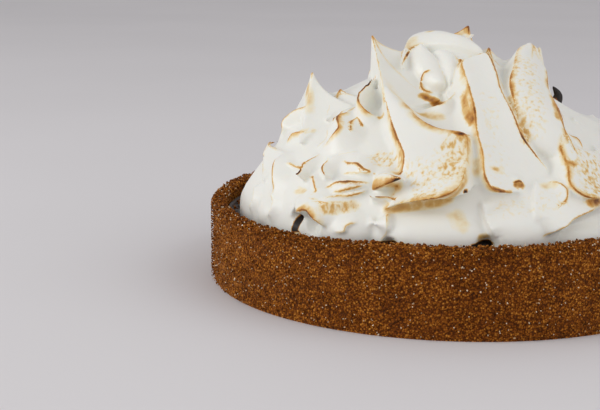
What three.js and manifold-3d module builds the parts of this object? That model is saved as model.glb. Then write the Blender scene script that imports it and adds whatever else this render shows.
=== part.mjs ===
// A s'mores pie, out of its tin: a pressed biscuit-crumb crust, a chocolate filling, and a heap of
// torched meringue pulled up into peaks and folds with the back of a spoon.
// Millimetres, +Z up. The origin is the centre of the crust's underside, which the pie stands on.
// Azimuth 0 is +X and -90 is -Y, the side that the tallest sheets of meringue face.

import * as THREE from "three";
import { mergeVertices } from "three/addons/utils/BufferGeometryUtils.js";
import Module from "manifold-3d";

const wasm = await Module();
wasm.setup();

// Driving dimensions.
const crustRadius = 115; // a 9 inch tin
const crustHeight = 38.5; // 1 1/2 inch deep
const wallThickness = 8;
const baseThickness = 8;
const fillingTop = 31;
const gap = 0.3; // clear space between touching pieces
const heapRadius = 101; // the meringue's foot on the filling
const heapTop = 110; // its summit, under the peaks
const heapPower = 2.1; // 1 is a cone, 2 a dome
// Where the dome falls in on its left and on its right.
const scoops = [
  { azimuth: 171, z: 55, reach: 32, depth: 9 },
  { azimuth: -6, z: 86, reach: 26, depth: 7 },
  { azimuth: 32, z: 80, reach: 38, depth: 9 },
];
const sink = 4; // how far a peak or fold is rooted in the heap
const crustSegments = 60;
const finest = 0.2; // smallest detail that the meringue's facets keep

const innerRadius = crustRadius - wallThickness;
const seat = fillingTop + gap;
const upwards = new THREE.Vector3(0, 0, 1);
const { degToRad, radToDeg, clamp, lerp } = THREE.MathUtils;

// ---- solids ----

function solidOf(geometry) {
  const bare = geometry.index ? geometry.toNonIndexed() : geometry.clone();
  bare.deleteAttribute("normal");
  bare.deleteAttribute("uv");
  const merged = mergeVertices(bare, 1e-3);
  const triangles = [];
  for (let i = 0; i < merged.index.count; i += 3) {
    const [a, b, c] = [0, 1, 2].map((k) => merged.index.getX(i + k));
    if (a !== b && b !== c && c !== a) triangles.push(a, b, c);
  }
  const mesh = (triVerts) =>
    new wasm.Mesh({
      numProp: 3,
      vertProperties: merged.attributes.position.array,
      triVerts: new Uint32Array(triVerts),
    });
  const made = new wasm.Manifold(mesh(triangles));
  return made.volume() > 0 ? made : new wasm.Manifold(mesh(triangles.reverse()));
}

function geometryOf(solid) {
  const { numProp, numVert, vertProperties, triVerts } = solid.getMesh();
  const positions = new Float32Array(numVert * 3);
  for (let i = 0; i < numVert; i++) {
    positions.set(vertProperties.subarray(i * numProp, i * numProp + 3), i * 3);
  }
  const geometry = new THREE.BufferGeometry();
  geometry.setAttribute("position", new THREE.BufferAttribute(positions, 3));
  geometry.setIndex(new THREE.BufferAttribute(triVerts, 1));
  geometry.computeVertexNormals();
  return geometry;
}

// A profile of [radius, z] turned about Z.
function turned(profile) {
  const points = profile.map(([r, z]) => new THREE.Vector2(r, z));
  return new THREE.LatheGeometry(points, crustSegments).rotateX(Math.PI / 2);
}

// A sphere drawn out into another shape: place gives a point for u, the share of the way round,
// and v, the share of the way from one pole to the other.
function drawnOut(around, along, place) {
  const geometry = new THREE.SphereGeometry(1, around, along);
  const { position, uv } = geometry.attributes;
  for (let i = 0; i < position.count; i++) {
    const v = Math.round((1 - uv.getY(i)) * along) / along;
    const u = v % 1 === 0 ? 0 : Math.round(uv.getX(i) * around) / around;
    const point = place(u % 1, v);
    position.setXYZ(i, point.x, point.y, point.z);
  }
  return solidOf(geometry);
}

// ---- crust ----

// The pressed rim is uneven: it stands highest to the front right.
function rimLift(azimuth) {
  const a = degToRad(azimuth);
  const highSide = 3.4 * Math.max(0, Math.cos(a + Math.PI / 4)) ** 3;
  return highSide + 0.7 * Math.sin(3 * a + 0.6) + 0.4 * Math.sin(7 * a + 2.1) - 0.6;
}

function crust() {
  const shoulder = 2.6; // rounding of the rim
  const foot = 1.6; // worn edge at the bottom
  const liftFrom = crustHeight - 12;
  const geometry = turned([
    [0, 0],
    [crustRadius - foot, 0],
    [crustRadius, foot],
    [crustRadius, liftFrom],
    [crustRadius, crustHeight - shoulder],
    [crustRadius - 0.4 * shoulder, crustHeight - 0.3 * shoulder],
    [crustRadius - 0.5 * wallThickness, crustHeight + 0.2],
    [innerRadius + 0.4 * shoulder, crustHeight - 0.4 * shoulder],
    [innerRadius, crustHeight - 1.3 * shoulder],
    [innerRadius, baseThickness],
    [0, baseThickness],
  ]);
  const p = geometry.attributes.position;
  for (let i = 0; i < p.count; i++) {
    const share = (p.getZ(i) - liftFrom) / (crustHeight - liftFrom);
    if (share <= 0) continue;
    const azimuth = radToDeg(Math.atan2(p.getY(i), p.getX(i)));
    p.setZ(i, p.getZ(i) + share * rimLift(azimuth));
  }
  return solidOf(geometry);
}

// ---- chocolate filling ----

function filling() {
  const edge = innerRadius - gap;
  const creep = 1.2; // the filling climbs the crust a little
  return solidOf(
    turned([
      [0, baseThickness + gap],
      [edge, baseThickness + gap],
      [edge, fillingTop],
      [edge - creep, fillingTop - 0.5 * creep],
      [edge - 5 * creep, fillingTop - creep],
      [0, fillingTop - creep],
    ]),
  );
}

// ---- the heap of meringue ----
// A dome of revolution. A place on it is an azimuth and a height z, or the length of arc from its
// foot, and out is how far a point stands off it.

function radiusAt(z) {
  const share = clamp((z - seat) / (heapTop - seat), 0, 1);
  return heapRadius * (1 - share ** heapPower);
}

const heapProfile = [];
const profileSteps = 400;
for (let i = 0; i <= profileSteps; i++) {
  const z = lerp(seat, heapTop, i / profileSteps);
  const radius = radiusAt(z);
  const last = heapProfile.at(-1);
  const arc = last ? last.arc + Math.hypot(radius - last.radius, z - last.z) : 0;
  const slope = (radiusAt(z + 0.2) - radiusAt(z - 0.2)) / 0.4;
  const steep = Math.hypot(1, slope);
  heapProfile.push({ arc, radius, z, normal: [1 / steep, -slope / steep] });
}
const wholeArc = heapProfile.at(-1).arc;

function between(key, value) {
  const after = heapProfile.findIndex((row) => row[key] > value);
  const i = clamp(after < 0 ? profileSteps - 1 : after - 1, 0, profileSteps - 1);
  const [a, b] = [heapProfile[i], heapProfile[i + 1]];
  return { a, b, share: (value - a[key]) / (b[key] - a[key]) };
}

const arcOf = (z) => {
  const { a, b, share } = between("z", z);
  return lerp(a.arc, b.arc, share);
};

function heapAt(azimuth, arc, out = 0) {
  const { a, b, share } = between("arc", arc);
  const r = lerp(a.radius, b.radius, share) + out * a.normal[0];
  const turn = degToRad(azimuth);
  const z = lerp(a.z, b.z, share) + out * a.normal[1];
  return new THREE.Vector3(r * Math.cos(turn), r * Math.sin(turn), z);
}

const onHeap = (azimuth, z, out = 0) => heapAt(azimuth, arcOf(z), out);

function dome() {
  const skirt = 0.1; // share of v under the foot
  const under = new THREE.Vector3(0, 0, seat - 3);
  return drawnOut(32, 10, (u, v) => {
    if (v > skirt) {
      const arc = (wholeArc * (v - skirt)) / (1 - skirt);
      const whole = heapAt(360 * u, arc);
      let out = 0;
      for (const { azimuth, z, reach, depth } of scoops) {
        const away = whole.distanceTo(onHeap(azimuth, z)) / reach;
        out -= depth * clamp(1 - away ** 2, 0, 1) ** 2;
      }
      return heapAt(360 * u, arc, out);
    }
    const edge = heapAt(360 * u, 0).setZ(seat - 3);
    return under.clone().lerp(edge, v / skirt);
  });
}

// A peak pulled up to a tip [x, y, z]. Sharp ridges run down to feet [azimuth, z, out, sag], and
// the faces between them are hollow.
function peak({ tip, ridges, hollow = 0.2, blunt = 0.6 }) {
  const top = new THREE.Vector3(...tip);
  const lines = ridges.map(([azimuth, z, out, sag]) => {
    const foot = onHeap(azimuth, z, out);
    const middle = top.clone().lerp(foot, 0.5 - sag);
    middle.z = lerp(top.z, foot.z, 0.5 + sag);
    return new THREE.QuadraticBezierCurve3(top, middle, foot);
  });
  const centre = new THREE.Vector3();
  for (const { v2 } of lines) centre.addScaledVector(v2, 1 / lines.length);
  const bearing = ({ v2 }) => Math.atan2(v2.y - centre.y, v2.x - centre.x);
  lines.sort((p, q) => bearing(p) - bearing(q));
  const root = centre.clone().multiply(new THREE.Vector3(0.6, 0.6, 1));
  root.z = Math.max(root.z - 2 * sink, seat + 1);
  const rows = 6;
  const feetAt = (rows - 1) / rows;
  return drawnOut(lines.length * 2, rows, (u, v) => {
    const t = Math.min(v / feetAt, 1) ** 1.2;
    const corners = lines.map((line) => line.getPoint(t));
    const axis = new THREE.Vector3();
    for (const corner of corners) axis.addScaledVector(corner, 1 / corners.length);
    const i = Math.floor(u * corners.length);
    const s = u * corners.length - i;
    const point = corners[i].clone().lerp(corners[(i + 1) % corners.length], s);
    point.lerp(axis, hollow * 4 * s * (1 - s));
    const spread = point.clone().sub(axis);
    if (spread.length() > 0) point.addScaledVector(spread.normalize(), blunt);
    return v > feetAt ? point.lerp(root, (v - feetAt) / (1 - feetAt)) : point;
  });
}

// A fold with a sharp crest through points [azimuth, z, out]. Its flanks reach up and down the
// heap, and curve says how: 1 is straight, more is hollow, less is full. lean carries the crest
// over downhill. An end dies into the heap unless tips says that it stands free.
function fold({ crest, up = 20, down = 8, curve = [2, 2], lean = 0, tips = [0, 0] }) {
  const line = new THREE.CatmullRomCurve3(
    crest.map(([azimuth, z, out]) => new THREE.Vector3(azimuth, arcOf(z), out)),
  );
  let length = 0;
  for (let i = 1; i < crest.length; i++) {
    length += onHeap(...crest[i]).distanceTo(onHeap(...crest[i - 1]));
  }
  const rightwards = crest.at(-1)[0] >= crest[0][0] ? 1 : -1;
  const flank = 3 / 8; // share of u on each flank; the rest is the root
  const taper = 14; // length over which an end dies away
  return drawnOut(8, clamp(Math.round(length / 7), 5, 9), (u, v) => {
    const at = line.getPoint(v);
    const radius = Math.max(between("arc", at.y).a.radius, 8);
    const run = line.getPoint(Math.min(v + 0.03, 1)).sub(line.getPoint(Math.max(v - 0.03, 0)));
    const uphill = new THREE.Vector2(-run.y, degToRad(run.x) * radius).normalize();
    uphill.multiplyScalar(rightwards);
    const ends = [v, 1 - v].map((share) => Math.min((share * length) / taper, 1));
    let width = 1;
    let out = at.z;
    tips.forEach((free, k) => {
      if (free) width *= Math.max(ends[k] ** 0.7, 0.3);
      else out *= Math.sin((ends[k] * Math.PI) / 2);
    });
    let lateral = 0;
    let height = v % 1 === 0 && tips[v] ? out : -sink;
    if (v % 1 !== 0 && u > flank && u < 1 - flank) {
      const s = (u - flank) / (1 - 2 * flank);
      lateral = lerp(up, -down, s) * width;
      height = -sink * (1 + 0.6 * Math.sin(Math.PI * s));
    } else if (v % 1 !== 0) {
      const upper = u <= flank;
      const s = (upper ? u : 1 - u) / flank;
      lateral = s * (upper ? up : -down) * width;
      height = out * (1 - s) ** curve[upper ? 0 : 1] - sink * s * s;
    }
    if (height > 0 && at.z > 0) lateral -= lean * (height / at.z) ** 2;
    const azimuth = at.x + radToDeg((lateral * uphill.x) / radius);
    return heapAt(azimuth, at.y + lateral * uphill.y, height);
  });
}

// A smooth lap between two sharp edges that meet at its ends. Outside the edges, slopes of the
// widths in skirts fall away into the heap, each from its first width to its second.
function sheet({ left, right, bulge = 2, skirts }) {
  const drop = 12; // from an edge down into the heap
  const edges = [left, right].map(
    (edge) => new THREE.CatmullRomCurve3(edge.map((place) => onHeap(...place))),
  );
  const middle = new THREE.Vector3(0, 0, 40);
  const rows = clamp(Math.round(edges[0].getLength() / 9), 6, 10);
  const ringSteps = 10; // two on the left slope, three on the face, three on the right, two under
  const [leftEdge, rightEdge, rightFoot] = [2, 5, 8].map((step) => step / ringSteps);
  return drawnOut(ringSteps, rows, (u, v) => {
    const [a, b] = edges.map((edge) => edge.getPoint(v));
    const across = b.clone().sub(a).normalize();
    const ends = Math.min(1, 7 * v, 7 * (1 - v));
    const point = new THREE.Vector3();
    let raised = 0;
    if (u >= leftEdge && u <= rightEdge) {
      const s = (u - leftEdge) / (rightEdge - leftEdge);
      point.lerpVectors(a, b, s);
      raised = bulge * 4 * s * (1 - s);
    } else {
      const [leftFootAt, rightFootAt] = [a, b].map((edge, k) =>
        edge.clone().addScaledVector(across, (k ? 1 : -1) * ends * lerp(...skirts[k], v)),
      );
      const s = u < leftEdge ? (leftEdge - u) / leftEdge : (u - rightEdge) / (rightFoot - rightEdge);
      if (u < leftEdge) point.lerpVectors(a, leftFootAt, s);
      else if (u <= rightFoot) point.lerpVectors(b, rightFootAt, s);
      else point.lerpVectors(rightFootAt, leftFootAt, (u - rightFoot) / (1 - rightFoot));
      raised = -drop * ends * (1 - Math.max(1 - s, 0) ** 2);
    }
    return point.addScaledVector(point.clone().sub(middle).normalize(), raised);
  });
}

// A roll that thins to its tip along a path of [x, y, z].
function curl({ path, width, thickness }) {
  const line = new THREE.CatmullRomCurve3(path.map((p) => new THREE.Vector3(...p)));
  const facing = new THREE.Vector3(0, -1, 0.2); // the way that the roll turns its face
  return drawnOut(8, 8, (u, v) => {
    const run = line.getTangent(v);
    const across = run.clone().cross(facing).normalize();
    const deep = run.clone().cross(across).normalize();
    const size = v % 1 === 0 ? 0 : 0.03 + 0.97 * (1 - v) ** 0.7;
    return line
      .getPoint(v)
      .addScaledVector(across, size * thickness * Math.cos(2 * Math.PI * u))
      .addScaledVector(deep, size * width * Math.sin(2 * Math.PI * u));
  });
}

// A rounded billow: size is its reach outwards, sideways and upwards.
function billow({ azimuth, radius, z, size }) {
  const geometry = new THREE.SphereGeometry(1, 10, 6).rotateX(Math.PI / 2);
  geometry.scale(...size).translate(radius, 0, z).rotateZ(degToRad(azimuth));
  return solidOf(geometry);
}

const peaks = {
  // the tall spire
  tall: {
    tip: [-40, -17, 116],
    ridges: [
      [-119, 78, 6, 0.02],
      [-104, 90, 3, 0.3],
      [-120, 103, 3, 0.38],
      [160, 100, 2, 0.1],
      [-160, 92, 1, 0],
    ],
    hollow: 0.12,
  },
  // the left spire
  left: {
    tip: [-67, -6, 97.5],
    ridges: [
      [-172, 75, 3, 0.08],
      [-150, 66, 3, 0.1],
      [-147, 84, 1, 0.3],
      [165, 84, 1, 0.3],
      [165, 68, 2, 0.1],
    ],
    hollow: 0.12,
  },
  // the nub between them
  nub: {
    tip: [-54, -10, 90],
    ridges: [[-164, 80, 1, 0.1], [-150, 76, 3, 0.2], [-146, 87, 1, 0.3], [170, 86, 0, 0.2]],
    hollow: 0.25,
  },
  // the head of the front ridge
  frontRidge: {
    tip: [-1, -30, 106],
    ridges: [
      [-90, 80, 7, 0.05],
      [-106, 90, 4, 0.3],
      [-76, 90, 3, 0.3],
      [-60, 103, 2, 0.2],
      [-120, 103, 2, 0.2],
    ],
  },
  // the head of the broad sheet
  broadSheet: {
    tip: [14, -14, 110],
    ridges: [
      [-74, 84, 7, 0.05],
      [-55, 92, 3, 0.35],
      [0, 100, 2, 0.2],
      [90, 104, 1, 0.2],
      [-92, 94, 4, 0.15],
    ],
    hollow: 0.15,
  },
  // the leaf, which is blunt and has two heads
  leaf: {
    tip: [34, -12, 111],
    ridges: [
      [-68, 84, 6, 0.02],
      [-62, 72, 5, 0.05],
      [-54, 82, 5, 0.1],
      [25, 96, 1, 0.2],
      [70, 98, 0, 0.3],
    ],
    hollow: 0.04,
    blunt: 2.2,
  },
  leafTop: {
    tip: [37, -10, 109.5],
    ridges: [
      [-54, 84, 6, 0.02],
      [-66, 71, 5, 0.05],
      [-50, 85, 6, 0.05],
      [20, 95, 1, 0.2],
      [70, 97, 0, 0.3],
    ],
    hollow: 0.04,
    blunt: 2,
  },
  // the right shoulder
  rightShoulder: {
    tip: [53, -10, 76],
    ridges: [
      [-48, 68, 3, 0.05],
      [-30, 62, 2, 0.1],
      [0, 64, 1, 0.1],
      [10, 76, 0, 0.2],
      [-42, 80, 2, 0.2],
    ],
  },
  // the crown's horn
  horn: {
    tip: [5, -6, 122],
    ridges: [[-140, 107, 7, 0.2], [-60, 107, 6, 0.2], [10, 107, 3, 0.1], [120, 107, 3, 0.1]],
    hollow: 0.1,
  },
  // the needle at the left
  needle: {
    tip: [-90, -7, 66],
    ridges: [[-170, 48, 2, 0.1], [-152, 50, 2, 0.1], [-158, 62, 1, 0.3], [172, 52, 1, 0.1]],
  },
};

const sheets = {
  // the big tongue under the crown
  shield: {
    left: [
      [-138, 90, 9],
      [-126, 84, 8],
      [-117, 76, 7.5],
      [-113, 71, 7],
      [-110, 66.5, 6],
      [-110, 61, 3],
      [-111, 55, 1],
      [-112, 50.5, 1],
      [-113, 48, 3],
    ],
    right: [
      [-138, 90, 9],
      [-119, 85, 7],
      [-109, 78.5, 8],
      [-101, 75, 8],
      [-93, 73, 9],
      [-92, 68.5, 7],
      [-93, 61, 8],
      [-95, 54.5, 11],
      [-99, 51, 13],
      [-103, 50, 13],
      [-109, 49, 9],
      [-113, 48, 3],
    ],
    bulge: 1.5,
    skirts: [[18, 10], [20, 1]],
  },
  // the broad sheet to its right
  broad: {
    left: [
      [-80, 99.5, 9],
      [-92, 96.5, 10],
      [-90, 89, 9],
      [-89, 81.5, 9],
      [-89, 74.5, 8],
      [-88, 68, 6],
      [-88, 61, 5],
      [-86, 56, 5],
      [-82, 55.5, 4],
    ],
    right: [
      [-80, 99.5, 9],
      [-70, 99, 11],
      [-72, 93.5, 10],
      [-75, 87.5, 9],
      [-75, 79, 8.5],
      [-71, 68, 3],
      [-69, 63, 1],
      [-75, 58, 0.5],
      [-82, 55.5, 3.5],
    ],
    bulge: -0.5,
    skirts: [[20, 6], [14, 16]],
  },
  // the face of the leaf
  leafFace: {
    left: [
      [-18, 98.5, 14],
      [-35, 99, 12],
      [-58, 94.5, 10],
      [-68, 90, 9],
      [-72, 83.5, 8],
      [-73, 77, 5],
      [-71, 72, 3],
      [-66, 68, 1],
    ],
    right: [
      [-18, 98.5, 14],
      [-17, 96.5, 12],
      [-35, 92, 10],
      [-50, 86.5, 9],
      [-56, 79, 9],
      [-59, 74, 8],
      [-61, 70, 5],
      [-66, 68, 1],
    ],
    bulge: 2,
    skirts: [[6, 8], [12, 10]],
  },
  // the tongue at the right
  rightTongue: {
    left: [
      [-60, 74.5, 5],
      [-64, 68, 6],
      [-65, 62.5, 7],
      [-67, 56, 8.5],
      [-65, 51, 11],
      [-60, 50, 9.5],
    ],
    right: [
      [-60, 74.5, 5],
      [-58, 70, 5],
      [-50, 67, 4],
      [-46, 62.5, 3],
      [-46, 56.5, 3],
      [-51, 52.5, 6],
      [-60, 50, 9.5],
    ],
    bulge: 2,
    skirts: [[12, 1], [12, 4]],
  },
  // the hood at the summit
  crown: {
    left: [
      [-131, 94, 9],
      [-148, 99.5, 9],
      [164, 103, 10],
      [163, 105.5, 10.5],
      [-156, 108, 9],
      [-99, 107, 9],
      [-78, 106, 9],
      [-67, 103, 8],
      [-67, 101, 7],
    ],
    right: [
      [-131, 94, 9],
      [-138, 98, 9],
      [-146, 101.5, 9],
      [-137, 103, 9],
      [-117, 103.5, 9],
      [-97, 103, 9],
      [-82, 102, 8],
      [-72, 101, 7],
      [-67, 101, 7],
    ],
    bulge: 2,
    skirts: [[8, 8], [1.5, 4]],
  },
  // the lobe that it curls over
  innerLobe: {
    left: [
      [-137, 102.5, 8],
      [-145, 101, 8],
      [-140, 99, 7],
      [-131, 97, 6],
      [-121, 95, 5],
      [-111, 93, 5],
      [-103, 93, 4],
    ],
    right: [
      [-137, 102.5, 8],
      [-122, 101, 8],
      [-113, 99.5, 7],
      [-107, 97, 6],
      [-103, 94.5, 6],
      [-103, 93, 4],
    ],
    bulge: 2.5,
    skirts: [[6, 10], [2, 2]],
  },
  // the small dark tongue at the left of the big one
  darkTongue: {
    left: [[-116, 54, 5], [-113, 54.5, 8.5], [-110, 55.5, 11], [-107.5, 56.5, 12.5]],
    right: [[-116, 54, 5], [-115.5, 57, 8], [-112, 58.5, 10], [-110, 57.5, 11], [-107.5, 56.5, 12.5]],
    bulge: 1,
    skirts: [[1, 1], [10, 3]],
  },
};

const folds = {
  // the wavy ridge below the nub
  wavy: {
    crest: [[-151, 84.5, 5], [-141, 77.5, 6], [-137, 74.5, 7], [-136, 72, 7], [-142, 68, 3]],
    up: 18,
    down: 14,
  },
  // the ridge down from the needle
  cheek: {
    crest: [[-159, 61, 5], [-154, 58, 5], [-150, 52, 4], [-148, 46, 2]],
    up: 18,
    down: 8,
  },
  // the lip of the small cave
  caveLip: {
    crest: [[-141, 41, 3], [-133, 45.5, 9], [-130, 45.5, 10], [-128, 43.5, 10], [-124.5, 37, 7]],
    up: 16,
    down: 3,
    curve: [1.4, 0.6],
    lean: 2,
  },
  // the lap over the left foot
  lowLip: {
    crest: [[-137, 48.5, 2.5], [-132, 48, 5], [-129, 48, 6.5], [-125, 48, 7], [-120, 49.5, 4]],
    up: 14,
    down: 12,
  },
  // the ridge at the leaf's right
  rightRidge: {
    crest: [[-39, 89, 8], [-58, 78, 9], [-59, 74.5, 8], [-59, 70.5, 7], [-61, 64.5, 4]],
    up: 16,
    down: 16,
  },
  // the hooked finger
  finger: {
    crest: [[-71, 58.5, 5], [-69, 57.5, 8], [-69, 51.5, 8], [-71, 49.5, 7], [-75, 45, 4]],
    up: 14,
    down: 10,
    curve: [1.5, 1.5],
  },
  // the lap at the lower right
  lap: {
    crest: [[-77, 39.5, 4.5], [-73, 43.5, 9], [-69, 46.5, 10], [-64, 48.5, 9], [-52, 50, 5]],
    up: 26,
    down: 4,
    curve: [1.2, 0.7],
    lean: 2,
  },
  // the bulge at the left
  leftBulge: {
    crest: [[-160, 81, 4], [-168, 77, 6.5], [-174, 73, 6.5], [-176, 69, 5], [-170, 67, 4]],
    up: 10,
    down: 4,
    curve: [1.2, 0.8],
  },
};

const curls = {
  // the right-hand lobe
  rightLobe: {
    path: [[48, -18, 69], [54, -18, 75], [59, -18, 75.5], [63, -18, 70]],
    width: 9,
    thickness: 5.5,
  },
  // the burnt curl behind the leaf
  burntCurl: {
    path: [[43, -8, 78], [47, -8, 82], [50, -8, 87], [47, -8, 92]],
    width: 5,
    thickness: 4,
  },
};

const billows = [
  { azimuth: -178, radius: 87, z: 34, size: [10, 12, 8] },
  { azimuth: -164, radius: 88, z: 36, size: [10, 9, 9] },
  { azimuth: -152, radius: 91, z: 37, size: [11, 11, 10] },
  { azimuth: -123, radius: 91, z: 38, size: [14, 19, 12] },
  { azimuth: -101, radius: 91, z: 38, size: [15, 27, 13] },
  { azimuth: -80, radius: 90, z: 40, size: [16, 20, 14] },
  { azimuth: -62, radius: 91, z: 36, size: [14, 20, 10] },
  { azimuth: -44, radius: 89, z: 40, size: [15, 18, 12] },
  { azimuth: -110, radius: 10, z: 92, size: [28, 30, 17] },
];
const farBillows = 8;
for (let i = 0; i < farBillows; i++) {
  const swell = Math.sin(2.7 * i);
  billows.push({
    azimuth: -30 + (190 * (i + 0.5)) / farBillows,
    radius: 90 + swell,
    z: 39,
    size: [14 + swell, 20 + 3 * swell, 12 + swell],
  });
}

// The far side has shapes of the same kinds, turned about the middle and lower.
const farReach = 105; // they stay inside the crust
const farSide = [
  { turn: 195, lower: 0.78, names: ["shield", "broad", "lowLip"] },
  { turn: 235, lower: 0.8, names: ["tall"] },
  { turn: 180, lower: 0.94, names: ["broadSheet"] },
  { turn: 140, lower: 0.82, names: ["leaf"] },
  { turn: 190, lower: 0.66, names: ["left", "wavy", "cheek", "caveLip", "leftBulge"] },
  { turn: 103, lower: 0.7, names: ["shield"] },
  { turn: 188, lower: 0.72, names: ["rightTongue", "lap"] },
];

const lowered = (z, share) => lerp(seat, z, share);

function turnedShape(shape, { turn, lower }) {
  const moved = ([azimuth, height, out, ...rest]) => {
    const z = lowered(height, lower);
    return [azimuth + turn, z, Math.min(out, farReach - radiusAt(z)), ...rest];
  };
  const copy = { ...shape };
  for (const key of ["crest", "left", "right", "ridges"]) copy[key] &&= copy[key].map(moved);
  if (copy.tip) {
    const tip = new THREE.Vector3(...copy.tip).applyAxisAngle(upwards, degToRad(turn));
    copy.tip = tip.setZ(lowered(tip.z, lower)).toArray();
  }
  return copy;
}

function meringue() {
  const makers = [
    [peak, peaks],
    [sheet, sheets],
    [fold, folds],
    [curl, curls],
  ];
  const shapes = [dome(), ...billows.map(billow)];
  for (const [make, kind] of makers) {
    for (const [name, shape] of Object.entries(kind)) {
      shapes.push(make(shape));
      const copies = farSide.filter(({ names }) => names.includes(name));
      for (const far of copies) shapes.push(make(turnedShape(shape, far)));
    }
  }
  const edge = innerRadius - gap;
  const room = turned([
    [0, seat],
    [edge, seat],
    [edge, 2 * heapTop],
    [0, 2 * heapTop],
  ]);
  const heap = shapes.reduce((sum, one) => sum.add(one)).intersect(solidOf(room));
  // A pocket sealed in between folds is filled: only the outer shell is kept.
  const simple = heap.simplify(finest);
  return simple.decompose().reduce((most, one) => (one.volume() > most.volume() ? one : most));
}

// ---- the pie ----

const pie = new THREE.Group();
const pieces = [
  ["crust", crust(), 0x8a5522, 0.95],
  ["filling", filling(), 0x2b1c15, 0.35],
  ["meringue", meringue(), 0xeeebe2, 0.45],
];
for (const [name, solid, color, roughness] of pieces) {
  const material = new THREE.MeshStandardMaterial({ color, roughness, metalness: 0 });
  const mesh = new THREE.Mesh(geometryOf(solid), material);
  mesh.name = name;
  pie.add(mesh);
}

export default pie;
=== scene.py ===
import bpy
import bmesh
import numpy as np
from bisect import bisect
from functools import partial
from math import acos, atan2, cos, pi, radians, sin, tau
from mathutils import Euler, Matrix, Vector, kdtree, noise
from mathutils.bvhtree import BVHTree
from random import Random


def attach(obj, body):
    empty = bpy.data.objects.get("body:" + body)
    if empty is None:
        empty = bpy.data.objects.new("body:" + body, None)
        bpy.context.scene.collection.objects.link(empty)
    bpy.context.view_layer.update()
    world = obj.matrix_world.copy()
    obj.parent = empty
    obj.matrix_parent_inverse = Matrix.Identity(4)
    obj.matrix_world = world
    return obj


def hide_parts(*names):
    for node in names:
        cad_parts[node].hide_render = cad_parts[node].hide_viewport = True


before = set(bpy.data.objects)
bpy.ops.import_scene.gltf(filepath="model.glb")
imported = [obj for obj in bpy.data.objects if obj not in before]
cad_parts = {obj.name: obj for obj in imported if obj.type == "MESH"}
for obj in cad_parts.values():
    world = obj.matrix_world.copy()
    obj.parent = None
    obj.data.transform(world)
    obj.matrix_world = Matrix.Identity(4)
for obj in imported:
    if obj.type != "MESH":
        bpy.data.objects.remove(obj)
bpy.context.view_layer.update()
mm = 0.001      # the shapes below are worked out in millimetres

view = {
    "place": (-0.0722, -0.6452, 0.1651),
    "pitch": 11.6,      # degrees below level
    "roll": 0.46,
    "lens": 82.5,       # on a sensor 36 mm wide
}


def makeCamera():
    data = bpy.data.cameras.new("camera")
    data.lens = view["lens"]
    data.sensor_width = 36
    data.clip_start = 0.05
    camera = bpy.data.objects.new("camera", data)
    bpy.context.scene.collection.objects.link(camera)
    turn = Matrix.Rotation(radians(90 - view["pitch"]), 4, "X")
    turn = turn @ Matrix.Rotation(radians(view["roll"]), 4, "Z")
    camera.matrix_world = Matrix.Translation(view["place"]) @ turn
    bpy.context.scene.camera = camera


makeCamera()

# The heap is a dome of revolution. A place on it is an azimuth and a height, and how far out it stands.
heap = {
    "seat": 31.3,       # top of the filling
    "foot": 101.0,      # radius on the filling
    "top": 110.0,
    "power": 2.1,       # 1 is a cone, 2 a dome
    "sink": 4.0,        # how far a fold is rooted in the heap
    "voxel": 0.65,
    "faces": 196000,
    "softening": 12,    # rounds that round the valleys and leave the crests sharp
}


def heapRadius(z):
    share = min(max((z - heap["seat"]) / (heap["top"] - heap["seat"]), 0), 1)
    return heap["foot"] * (1 - share ** heap["power"])


arcs, radii, heights, normals = [], [], [], []
for i in range(401):
    z = heap["seat"] + (heap["top"] - heap["seat"]) * i / 400
    here = Vector((heapRadius(z), z))
    arcs.append(arcs[-1] + (here - Vector((radii[-1], heights[-1]))).length if arcs else 0.0)
    radii.append(here.x)
    heights.append(z)
    slope = (heapRadius(z + 0.2) - heapRadius(z - 0.2)) / 0.4
    normals.append(Vector((1, -slope)).normalized())


def heapAt(azimuth, arc, out=0.0):
    i = min(max(bisect(arcs, arc) - 1, 0), len(arcs) - 2)
    share = (arc - arcs[i]) / (arcs[i + 1] - arcs[i])
    radius = radii[i] + (radii[i + 1] - radii[i]) * share + out * normals[i].x
    z = heights[i] + (heights[i + 1] - heights[i]) * share + out * normals[i].y
    turn = radians(azimuth)
    return Vector((radius * cos(turn), radius * sin(turn), z))


def arcOf(z):
    return float(np.interp(z, heights, arcs))


def onHeap(azimuth, z, out=0.0):
    return heapAt(azimuth, arcOf(z), out)


def curveAt(points, t):
    spans = len(points) - 1
    i = min(int(t * spans), spans - 1)
    s = t * spans - i
    p1, p2 = points[i], points[i + 1]
    p0 = points[i - 1] if i else 2 * p1 - p2
    p3 = points[i + 2] if i + 2 <= spans else 2 * p2 - p1
    return 0.5 * (2 * p1 + s * (p2 - p0 + s * (2 * p0 - 5 * p1 + 4 * p2 - p3
                  + s * (3 * (p1 - p2) + p3 - p0))))


def lengthOf(points):
    return sum((b - a).length for a, b in zip(points, points[1:]))


def outwards(point):
    return (point - Vector((0, 0, 40))).normalized()


shapes = bmesh.new()
scratch = bpy.data.meshes.new("scratch")
burns = []      # places on crests and tips that the torch browned: point, side, strength, bleed


def drawnOut(around, along, place):
    # a sphere whose points are moved to place(share of the way round, share from pole to pole)
    one = bmesh.new()
    bmesh.ops.create_uvsphere(one, u_segments=around, v_segments=along, radius=1)
    for vert in one.verts:
        v = round(acos(min(max(vert.co.z, -1), 1)) / pi * along) / along
        u = round(atan2(vert.co.y, vert.co.x) / tau * around) / around % 1
        vert.co = place(u, v)
    one.to_mesh(scratch)
    one.free()
    shapes.from_mesh(scratch)


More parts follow.
